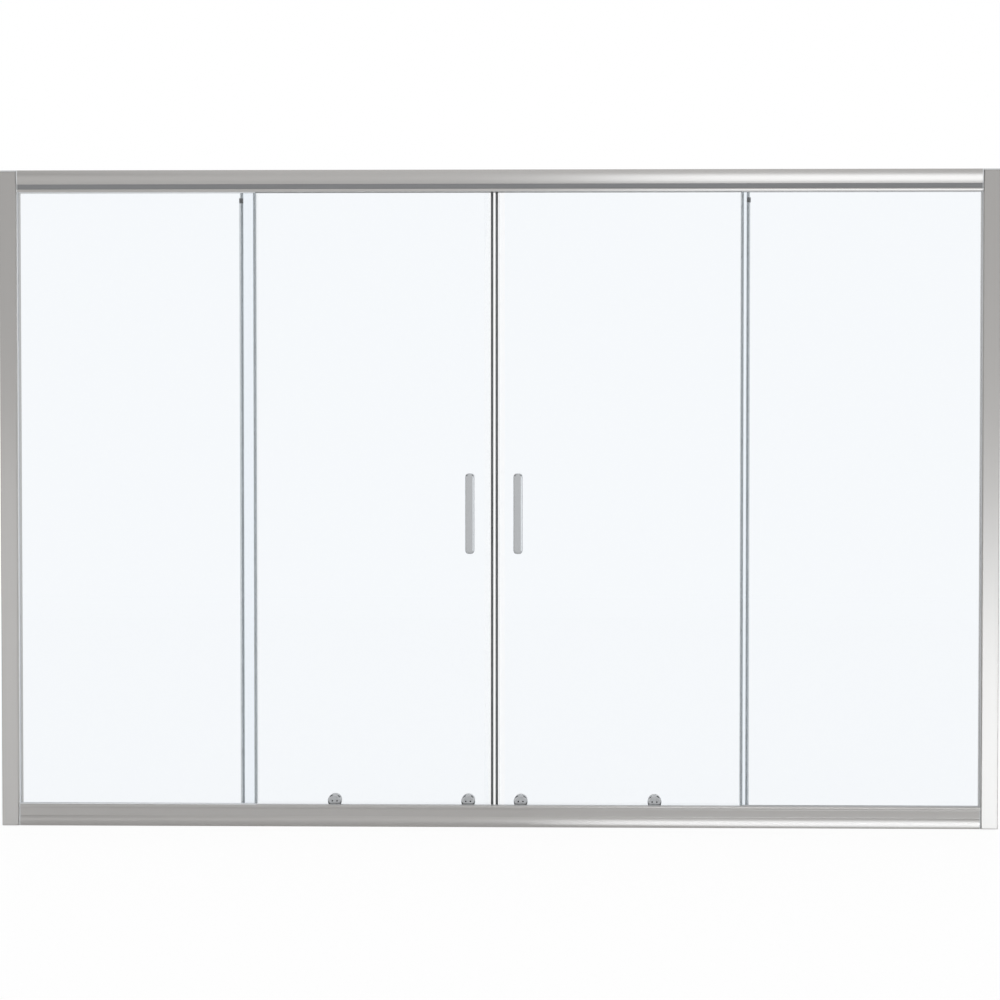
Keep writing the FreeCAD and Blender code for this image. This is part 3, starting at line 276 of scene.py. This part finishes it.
def film(name, tint, plastic, cover, roughness):
    """A thin wall: tint is what passes through, plastic its surface, cover the surface's share."""
    material, tree = new_material(name)
    cloud = add(tree, "MapRange", spread(grain(tree, CLOUD_MM), *cover)).outputs["Result"]
    clear = add(tree, "BsdfTransparent", {"Color": linear(tint)})
    gloss = {"Base Color": linear(plastic), "Roughness": roughness, "IOR": SOFT_PVC_INDEX}
    body = add(tree, "BsdfPrincipled", gloss)
    both = {0: cloud, 1: clear.outputs["BSDF"], 2: body.outputs["BSDF"]}
    add(tree, "OutputMaterial", {"Surface": add(tree, "MixShader", both).outputs["Shader"]})
    return material


# Fresh soft PVC: almost invisible on the glass.
materials["clear_pvc"] = film(
    "clear_soft_pvc", tint="#FFFFFF", plastic="#F2F4F5", cover=(0.004, 0.010), roughness=0.2)
# A thicker, cloudier strip: two grey lines along the edge of a pane.
materials["edge_pvc"] = film(
    "smoky_soft_pvc", tint="#F0F2F3", plastic="#CCCFD1", cover=(0.20, 0.28), roughness=0.25)
print("seals: clear_pvc, edge_pvc")

# %% [markdown]
# ## Rubber, ferrite and moulded plastic
#
# The small dark and pale pieces are moulded, extruded or turned, and none of them is shiny. They
# use the patterned surface again, with a faint bump. The real texture is a few hundredths of a
# millimetre wide, so it is drawn as coarse as half a millimetre, which a close view shows.

# %% Dark and pale plastics
materials.update({
    # Ferrite powder bound in plastic: an even dark grey that drinks the light.
    "magnet_ferrite": patterned(
        "ferrite_strip", ("#525456", "#5C5E60"), roughness=(0.5, 0.62), grain_mm=0.4,
        bump_mm=0.01),
    # Moulded rubber: nearly black and matt.
    "black_rubber": patterned(
        "black_rubber", ("#1B1B1C", "#252527"), roughness=(0.55, 0.7), grain_mm=0.5,
        bump_mm=0.02),
    # The buffers are a paler rubber than the stops.
    "buffer_rubber": patterned(
        "grey_rubber", ("#616365", "#6C6E70"), roughness=(0.55, 0.7), grain_mm=0.5,
        bump_mm=0.02),
    # Extruded trim: a soft sheen with lines along its length. Its dark grey is partly painted
    # shade:
    # it stands for the shade in the groove under the top rail's barrel.
    "dark_trim": patterned(
        "trim_pvc_painted_shade", ("#7A7B7D", "#838486"), roughness=(0.4, 0.5), grain_mm=0.5,
        stretch=ALONG_X, bump_mm=0.004),
    # Extruded glazing rubber: pale and matt.
    "grey_gasket": patterned(
        "grey_glazing_rubber", ("#D4D6D8", "#DCDEE0"), roughness=(0.5, 0.62), grain_mm=0.7,
        bump_mm=0.01),
    # Injection moulded: an even surface with a dull sheen.
    "grey_plastic": patterned(
        "grey_moulded_plastic", ("#C4C6C7", "#CBCDCE"), roughness=(0.38, 0.48), grain_mm=0.3,
        bump_mm=0.006),
    # Uncoloured nylon: a warm, milky white.
    "white_nylon": patterned(
        "natural_nylon", ("#E2E0D8", "#EAE8E1"), roughness=(0.42, 0.52), grain_mm=0.5,
        bump_mm=0.006),
    # Acetal wheels: whiter and smoother than nylon.
    "white_acetal": patterned(
        "white_acetal", ("#E6E6E2", "#EEEEEB"), roughness=(0.3, 0.4), grain_mm=0.6,
        bump_mm=0.004),
})
print(len(materials), "materials in all")

# %% [markdown]
# ## Dress the CAD pieces
#
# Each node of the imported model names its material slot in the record, so the hand-out is a short
# loop and no list of pieces has to be kept by hand. A few pieces get a variant of their slot.

# %% Hand out the materials
VARIANTS = {
    "edge_seal": "edge_pvc",
    "trailing_seal": "edge_pvc",
    "handle_bar": "handle_chrome",
    "edge_buffer": "buffer_rubber",
}
slot_of = {row["node"]: row["material_slot"] for row in frame["record"]["subparts"]}
for name, piece in nodes.items():
    kind = slot_of[name]
    if kind == "satin_aluminium":
        kind = "rail_aluminium" if name.endswith("_rail") else "upright_aluminium"
    for ending, variant in VARIANTS.items():
        if name.endswith(ending):
            kind = variant
    piece.data.materials.clear()
    piece.data.materials.append(materials[kind])
print("dressed", len(nodes), "nodes")

# %% [markdown]
# ## Helpers for shapes
#
# A shape is built in a bmesh, which is a mesh in the making, and then handed to a new object. Two
# helpers do that. A third closes two rings of corners into a solid, which serves for anything with
# as many corners at one end as at the other.

# %% Objects and prisms
def placed(name, data):
    """A new object that holds this mesh, lamp or camera, linked to the scene."""
    made = bpy.data.objects.new(name, data)
    bpy.context.scene.collection.objects.link(made)
    return made


def as_mesh(name, shape):
    """A mesh made from a bmesh, which is freed."""
    mesh = bpy.data.meshes.new(name)
    shape.to_mesh(mesh)
    shape.free()
    return mesh


def close_between(shape, first, second):
    """Add faces on two rings of corners and on the walls between them."""
    shape.faces.new(first)
    shape.faces.new(second)
    for corner in range(len(first)):
        after = (corner + 1) % len(first)
        shape.faces.new((first[corner], first[after], second[after], second[corner]))


# %% [markdown]
# ## Turned fittings
#
# Screws and plugs are round. They could be stacked from cylinders and cones, but one outline of
# (distance along Y, radius) turned about its axis gives domes and dishes as well. A cross recess is
# cut out of a screw head with a tapered plus-shaped plug.

# %% Turn and cut
WELD = 1e-7


def turned(outline, segments=40):
    """A closed mesh turned about the Y axis. The outline starts and ends on the axis."""
    shape = bmesh.new()
    points = [shape.verts.new((radius, along, 0)) for along, radius in outline]
    edges = [shape.edges.new(pair) for pair in zip(points, points[1:])]
    bmesh.ops.spin(
        shape, geom=points + edges, axis=(0, 1, 0), cent=(0, 0, 0), steps=segments,
        angle=math.tau)
    bmesh.ops.remove_doubles(shape, verts=shape.verts, dist=WELD)
    bmesh.ops.recalc_face_normals(shape, faces=shape.faces)
    return shape


def plus_plug(reach, half_width, mouth, floor, taper=0.7):
    """A plus-shaped plug along Y that narrows from its mouth to its floor."""
    quarter = [(reach, -half_width), (reach, half_width), (half_width, half_width)]
    plus = []
    for turn in range(4):
        plus += quarter
        quarter = [(-z, x) for x, z in quarter]
    shape = bmesh.new()
    ends = []
    for along, size in ((mouth, 1.0), (floor, taper)):
        ends.append([shape.verts.new((x * size, along, z * size)) for x, z in plus])
    close_between(shape, *ends)
    bmesh.ops.recalc_face_normals(shape, faces=shape.faces)
    return shape


def carved(shape, plug):
    """The mesh that is left when the plug is cut out of the shape."""
    blank = placed("blank", as_mesh("blank", shape))
    cutter = placed("cutter", as_mesh("cutter", plug))
    cut = blank.modifiers.new("recess", "BOOLEAN")
    cut.object = cutter
    view = bpy.context.evaluated_depsgraph_get()
    finished = bpy.data.meshes.new_from_object(blank.evaluated_get(view))
    for spare in (blank, cutter):
        bpy.data.objects.remove(spare)
    return finished


# %% [markdown]
# ## Copies that ride on a door
#
# Fittings come in sets, such as four screws on a door. Each set is one piece with a copy of the
# finished shape at each place, and it rides on the body of its door, so it moves when the door
# slides. Faces that meet at a small angle are shaded smooth, and real corners stay sharp.

# %% Copy to each place
SHARP_FROM = math.radians(35)


def copies(name, mesh, centres, body, slot):
    """One piece with a copy of the mesh at each centre, riding on a body."""
    shape = bmesh.new()
    for x, z in centres:
        before = len(shape.verts)
        shape.from_mesh(mesh)
        shape.verts.ensure_lookup_table()
        bmesh.ops.translate(shape, vec=(x, 0, z), verts=shape.verts[before:])
    piece = placed(name, as_mesh(name, shape))
    piece.data.shade_smooth()
    piece.data.set_sharp_from_angle(angle=SHARP_FROM)
    piece.data.materials.append(materials[slot])
    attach(piece, body)
    return piece


def middle_of(node):
    """The X and Z of the middle of a CAD node."""
    low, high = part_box(node)
    return (low.x + high.x) / 2, (low.z + high.z) / 2


# %% [markdown]
# ## Screws with domed heads
#
# The handle screws and the screws that keep the wheels on face the bath. In CAD they have plain
# heads with no recess. Here each takes its length and place from the CAD node that it stands for.
# The head is a quarter of an ellipse on a short straight rim, with a cross recess.

# %% Screw shapes
RIM_SHARE = 0.25
POINT_SHARE = 0.5
DOME_STEPS = 8
RECESS_REACH = 0.55
RECESS_HALF_WIDTH = 0.13
RECESS_DEPTH = 0.55


def domed_screw(node, seat, head_radius, shank_radius):
    """A screw as long as its CAD node, whose head sits on the plane y = seat."""
    low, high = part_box(node)
    height = high.y - seat
    rim = seat + RIM_SHARE * height
    point = POINT_SHARE * shank_radius
    outline = [(low.y, 0), (low.y, point), (low.y + point, shank_radius)]
    outline += [(seat, shank_radius), (seat, head_radius)]
    for step in range(DOME_STEPS + 1):
        lean = math.radians(90 * step / DOME_STEPS)
        outline.append((rim + (high.y - rim) * math.sin(lean), head_radius * math.cos(lean)))
    recess = plus_plug(
        RECESS_REACH * head_radius, RECESS_HALF_WIDTH * head_radius,
        mouth=high.y + height, floor=high.y - RECESS_DEPTH * height)
    return carved(turned(outline), recess)


# %% Handle screws and wheel screws
WHEELS = ("top_inner", "top_outer", "bottom_inner", "bottom_outer")
HANDLE_HEAD = 0.0025
HANDLE_SHANK = 0.002
RETAINER_HEAD = 0.0025
RETAINER_RADIUS = 0.005
RETAINER_SHANK = 0.0015
for side in ("left", "right"):
    door = f"{side}_door"
    low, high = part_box(f"{side}_handle_screws")
    head_radius = (high.x - low.x) / 2
    post_x = (low.x + high.x) / 2
    post_centres = [(post_x, z) for z in (low.z + head_radius, high.z - head_radius)]
    seat = high.y - HANDLE_HEAD
    screw = domed_screw(f"{side}_handle_screws", seat, head_radius, HANDLE_SHANK)
    piece = copies(f"{side}_domed_handle_screws", screw, post_centres, door, "stainless_steel")
    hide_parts(f"{side}_handle_screws")

    wheel_centres = [middle_of(f"{side}_{place}_wheel") for place in WHEELS]
    low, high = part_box(f"{side}_wheel_retainers")
    seat = high.y - RETAINER_HEAD
    retainer = domed_screw(f"{side}_wheel_retainers", seat, RETAINER_RADIUS, RETAINER_SHANK)
    piece = copies(f"{side}_domed_retainers", retainer, wheel_centres, door, "stainless_steel")
    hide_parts(f"{side}_wheel_retainers")
    print(side, "screws at", [[round(v, 4) for v in centre] for centre in post_centres])

# %% [markdown]
# ## Painted shade in the pin holes
#
# A pin spanner turns each roller cap by two small holes, which show as two dark dots. Chrome inside
# a hole would mirror the room and stay pale, so a dished disc of black rubber lies in each hole as
# painted shade: it stands for the shade deep in the hole and gives the dots their colour.

# %% Pin hole plugs
PIN_OFFSET = 0.004
PLUG_RADIUS = 0.00128
PLUG_FLOOR = 0.00178
PLUG_RIM = 0.0003
PLUG_SEGMENTS = 24
DISH_LIP = 0.8 * PLUG_RADIUS
DISH_RING = 0.5 * PLUG_RADIUS
DISH_RING_THICK = 0.0004
DISH_MIDDLE_THICK = 0.0003
for side in ("left", "right"):
    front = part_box(f"{side}_roller_caps")[0].y
    foot = front + PLUG_FLOOR
    rim = front + PLUG_RIM
    dish = [(foot, 0), (foot, PLUG_RADIUS), (rim, PLUG_RADIUS), (rim, DISH_LIP)]
    dish += [(foot - DISH_RING_THICK, DISH_RING), (foot - DISH_MIDDLE_THICK, 0)]
    plug = as_mesh("pin_hole_shade_plug", turned(dish, PLUG_SEGMENTS))
    centres = []
    for place in WHEELS:
        x, z = middle_of(f"{side}_{place}_wheel")
        centres += [(x - PIN_OFFSET, z), (x + PIN_OFFSET, z)]
    # The black discs are painted shade for the depth of the holes.
    copies(f"{side}_pin_hole_shade_plugs", plug, centres, f"{side}_door", "black_rubber")
    print(side, "plugs:", len(centres))

# %% [markdown]
# ## The ends of the trailing seals
#
# The soft seal on a door's trailing edge has a fin that stops short of the rails. Past the fin the
# seal goes on as a plain clip, down into the bottom rail and up from the buffer into the top rail.
# Its section is a U round the glass, so it is one outline closed between two heights.

# %% Seal ends
SEAL_WALL = 0.001
SEAL_PLAY = 0.00005
CLIP_FOOT = 0.0305
CLIP_TOP = 1.086


def clip_on_glass(shape, outline, foot, top):
    """Add an upright prism over an outline of X and Y points."""
    rings = [[shape.verts.new((x, y, z)) for x, y in outline] for z in (foot, top)]
    close_between(shape, *rings)


for side in ("left", "right"):
    glass_low, glass_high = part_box(f"{side}_door_glass")
    seal_low, seal_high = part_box(f"{side}_trailing_seal")
    nose, tip, edge = seal_low.x, seal_high.x, glass_low.x - SEAL_PLAY
    if side == "right":
        nose, tip, edge = seal_high.x, seal_low.x, glass_high.x + SEAL_PLAY
    front = glass_low.y - SEAL_PLAY
    back = glass_high.y + SEAL_PLAY
    outer_front = front - SEAL_WALL
    outer_back = back + SEAL_WALL
    outline = [(nose, outer_front), (tip, outer_front), (tip, front), (edge, front)]
    outline += [(edge, back), (tip, back), (tip, outer_back), (nose, outer_back)]
    shape = bmesh.new()
    clip_on_glass(shape, outline, CLIP_FOOT, seal_low.z)
    clip_on_glass(shape, outline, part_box(f"{side}_edge_buffer")[1].z, CLIP_TOP)
    bmesh.ops.recalc_face_normals(shape, faces=shape.faces)
    piece = placed(f"{side}_seal_ends", as_mesh(f"{side}_seal_ends", shape))
    piece.data.materials.append(materials["edge_pvc"])
    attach(piece, f"{side}_door")
    print(side, "seal ends over", round(abs(tip - nose) * MM_PER_METRE, 1), "mm of the edge")

# %% [markdown]
# ## The studio
#
# The screen stands in front of plain white. Rays that see the background directly, in a reflection
# or through glass find white at strength 1. All other rays find slightly less, which sets how
# brightly the white lights the screen. The kind of a ray comes from the Light Path node.

# %% White world
def seen_by(tree, camera, glossy, transmission):
    """The largest of these shares that applies to a ray, and 0 for other rays."""
    path = add(tree, "LightPath")
    largest = None
    for ray, share in (("Camera", camera), ("Glossy", glossy), ("Transmission", transmission)):
        seen = path.outputs[f"Is {ray} Ray"]
        scaled = add(tree, "Math", {0: seen, 1: share}, operation="MULTIPLY").outputs[0]
        if largest is not None:
            both = {0: largest, 1: scaled}
            scaled = add(tree, "Math", both, operation="MAXIMUM").outputs[0]
        largest = scaled
    return largest


WHITE = (1, 1, 1, 1)
WORLD_AS_LIGHT = 0.95
WORLD_AS_SEEN = 1.0
world = bpy.data.worlds.new("white_studio")
world.use_nodes = True
world.node_tree.nodes.clear()
tree = world.node_tree
seen = seen_by(tree, camera=1.0, glossy=1.0, transmission=1.0)
shares = spread(seen, WORLD_AS_LIGHT, WORLD_AS_SEEN, start=0.0, end=1.0)
strength = add(tree, "MapRange", shares).outputs["Result"]
sky = add(tree, "Background", {"Color": WHITE, "Strength": strength})
add(tree, "OutputWorld", {"Surface": sky.outputs["Background"]})
bpy.context.scene.world = world
print("world at", WORLD_AS_LIGHT, "as light and", WORLD_AS_SEEN, "as seen")

# %% [markdown]
# ## The floor
#
# The floor is pale paper just under the screen. It is lifted towards white for the same rays as the
# background, but less for the camera, so that the shadow stays, and least in reflections, so that
# the underside of the bottom rail stays dark.

# %% Pale floor
FLOOR_SIDE = 6
FLOOR_FRONT = -5
FLOOR_BACK = 6
FLOOR_HEIGHT = -0.0006
PAPER_GRAIN_MM = 5.0


def panel(name, corners):
    """A flat object with four corners."""
    mesh = bpy.data.meshes.new(name)
    mesh.from_pydata(corners, [], [(0, 1, 2, 3)])
    return placed(name, mesh)


corners = [(-FLOOR_SIDE, FLOOR_FRONT, 0), (FLOOR_SIDE, FLOOR_FRONT, 0)]
corners += [(FLOOR_SIDE, FLOOR_BACK, 0), (-FLOOR_SIDE, FLOOR_BACK, 0)]
floor = panel("studio_floor", corners)
floor.location.z = FLOOR_HEIGHT
material, tree = new_material("pale_floor")
paper = spread(grain(tree, PAPER_GRAIN_MM), 0.55, 0.65)
roughness = add(tree, "MapRange", paper).outputs["Result"]
matt = add(tree, "BsdfPrincipled", {"Base Color": linear("#FAFAFA"), "Roughness": roughness})
glow = add(tree, "Emission", {"Color": WHITE, "Strength": 1.0})
lift = seen_by(tree, camera=0.94, glossy=0.2, transmission=0.97)
both = {0: lift, 1: matt.outputs["BSDF"], 2: glow.outputs["Emission"]}
add(tree, "OutputMaterial", {"Surface": add(tree, "MixShader", both).outputs["Shader"]})
floor.data.materials.append(material)
floor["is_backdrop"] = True
print("floor at", FLOOR_HEIGHT)

# %% [markdown]
# ## Dark flags
#
# Round chrome needs something dark to reflect at its rim. Two black panels hang under the ceiling,
# left and right of the screen, with a bright gap over its middle. Only reflections see them. A
# third flag is a narrow strip close in front of the bottom rail. It only casts a shadow, and keeps
# one of the lamps off the flat band above the nose.

# %% Velvet panels
WEAVE_MM = 2.0
ALL_BUT_REFLECTIONS = ("camera", "diffuse", "transmission", "volume_scatter", "shadow")
ALL_BUT_SHADOWS = ("camera", "diffuse", "glossy", "transmission", "volume_scatter")


def black_flag(name, corners, hidden_from):
    """A dark panel that these kinds of rays don't see."""
    flag = panel(name, corners)
    material, tree = new_material(name)
    weave = spread(grain(tree, WEAVE_MM), 0.9, 1.0)
    roughness = add(tree, "MapRange", weave).outputs["Result"]
    velvet = {"Base Color": linear("#161616"), "Roughness": roughness}
    add(tree, "OutputMaterial", {"Surface": add(tree, "BsdfPrincipled", velvet).outputs["BSDF"]})
    flag.data.materials.append(material)
    for ray in hidden_from:
        setattr(flag, f"visible_{ray}", False)
    flag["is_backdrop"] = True
    print(name, "from", corners[0], "to", corners[2])
    return flag


# %% Ceiling flags and the strip
CEILING = 3.0
FLAG_NEAR = 1.7
FLAG_FAR = 5.0
FLAG_FRONT = -6
FLAG_BACK = 3
for name, side in (("left_black_flag", -1), ("right_black_flag", 1)):
    near, far = side * FLAG_NEAR, side * FLAG_FAR
    corners = [(near, FLAG_FRONT, CEILING), (far, FLAG_FRONT, CEILING)]
    corners += [(far, FLAG_BACK, CEILING), (near, FLAG_BACK, CEILING)]
    black_flag(name, corners, ALL_BUT_REFLECTIONS)

BAND_FLAG_Y = -0.027
BAND_FOOT = 0.0167
BAND_TOP = 0.035
BAND_PAST_END = 0.03
low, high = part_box("bottom_rail")
left, right = low.x, high.x + BAND_PAST_END
corners = [(left, BAND_FLAG_Y, BAND_FOOT), (right, BAND_FLAG_Y, BAND_FOOT)]
corners += [(right, BAND_FLAG_Y, BAND_TOP), (left, BAND_FLAG_Y, BAND_TOP)]
band_flag = black_flag("band_flag", corners, ALL_BUT_SHADOWS)

# %% [markdown]
# ## A softbox for chosen pieces
#
# The right half of the frame is brighter than the left, and the panes show no lamp at all. A free
# lamp would lie as a white patch in the glass, so each lamp is linked to a few pieces and lights
# those alone. Only they and the flags that it is given shade it, so a lamp may reach below the
# floor. Such a sunken lamp is found by lamp samples alone, because other rays stop at the floor.

# %% Softbox
DAYLIGHT = (0.93, 0.967, 1.0)


def aim(made, place, target):
    """Put a lamp or camera at a place and point it at a target."""
    made.location = place
    made.rotation_euler = (Vector(target) - Vector(place)).to_track_quat("-Z", "Y").to_euler()


def group(name, members):
    """A collection of these objects."""
    made = bpy.data.collections.new(name)
    for member in members:
        made.objects.link(member)
    return made


def softbox(
        name, pieces, place, target, size, watts, shape="RECTANGLE", sunken=False, flags=()):
    """A flat lamp aimed at a point, that lights only these pieces."""
    lamp = bpy.data.lights.new(name, "AREA")
    lamp.shape = shape
    lamp.color = DAYLIGHT
    lamp.size, lamp.size_y = size
    lamp.energy = watts
    lamp.cycles.use_multiple_importance_sampling = not sunken
    made = placed(name, lamp)
    aim(made, place, target)
    lit = [nodes[piece] for piece in pieces]
    made.light_linking.receiver_collection = group(f"{name}_lights", lit)
    made.light_linking.blocker_collection = group(f"{name}_shades", [*lit, *flags])
    made.visible_camera = False
    print(name, "lights", ", ".join(pieces))


# %% [markdown]
# ## The lamps
#
# A tall softbox draws the broad white band along the top rail. A second one, and a narrow strip
# that lies on the floor, do the same for the bottom rail. Others lighten the right edge of the
# handles, the lower half of both wall channels and the inner edge of the left upright.

# %% Lamps for the rails and handles
softbox(
    "top_softbox", ["top_rail"],
    place=(0.76, -0.62, 0.9), target=(0.76, 0, 0.9), size=(1.16, 0.8), watts=4.2)
softbox(
    "bottom_softbox", ["bottom_rail"],
    place=(0.66, -0.52, -0.015), target=(0.66, 0, -0.015), size=(1.07, 0.316), watts=1.7,
    sunken=True, flags=[band_flag])
softbox(
    "floor_strip", ["bottom_rail"],
    place=(0.85, -0.037, -0.0003), target=(0.85, -0.037, 1), size=(1.6, 0.026), watts=0.11,
    shape="ELLIPSE")
softbox(
    "handle_softbox", [name for name in nodes if name.endswith("handle_bar")],
    place=(1.5, -0.9, 0.55), target=(0, -0.03, 0.55), size=(2.2, 0.8), watts=5)

# %% Lamps for the wall channels
softbox(
    "right_softbox", ["right_wall_channel"],
    place=(0.94, -0.92, -0.085), target=(0.94, 0, -0.085), size=(0.78, 1.03), watts=5.1,
    sunken=True)
softbox(
    "left_softbox", ["left_wall_channel"],
    place=(-0.93, -0.52, 0.105), target=(-0.93, 0, 0.105), size=(0.45, 1.11), watts=0.55,
    sunken=True)
softbox(
    "edge_softbox", ["left_upright", "left_glazing_gasket"],
    place=(-0.3, -0.7, 0.3), target=(-0.82, 0, 0.3), size=(0.3, 1.7), watts=4.6,
    sunken=True)

# %% [markdown]
# ## The camera
#
# The photograph looks at the screen from several metres away, a touch right of the middle and a
# touch above it: the uprights lean together slightly towards the floor. The frame fills the picture
# from side to side, and that width sets the focal length.

# %% Camera
SENSOR_MM = 36.0
CAMERA_DISTANCE = 5.5
CAMERA_TURN = math.radians(1.7)
CAMERA_RISE = math.radians(2.0)
PICTURE_WIDTH = 1.7015
PICTURE_MIDDLE = Vector((0.0037, -0.02, 0.5592))
camera_data = bpy.data.cameras.new("photo_camera")
camera_data.sensor_width = SENSOR_MM
camera_data.lens = SENSOR_MM * CAMERA_DISTANCE / PICTURE_WIDTH
camera = placed("photo_camera", camera_data)
level = CAMERA_DISTANCE * math.cos(CAMERA_RISE)
rise = CAMERA_DISTANCE * math.sin(CAMERA_RISE)
away = Vector((level * math.sin(CAMERA_TURN), -level * math.cos(CAMERA_TURN), rise))
aim(camera, PICTURE_MIDDLE + away, PICTURE_MIDDLE)
bpy.context.scene.camera = camera
bpy.context.scene.view_settings.view_transform = "Standard"
print("lens", round(camera_data.lens, 2), "mm")

# %% [markdown]
#
# Dressing must not change the size of the screen, so the box of the dressed model is printed.

# %% Print the size of the dressed model
low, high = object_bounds()
print("visual box, metres:", [round(v, 4) for v in high - low])
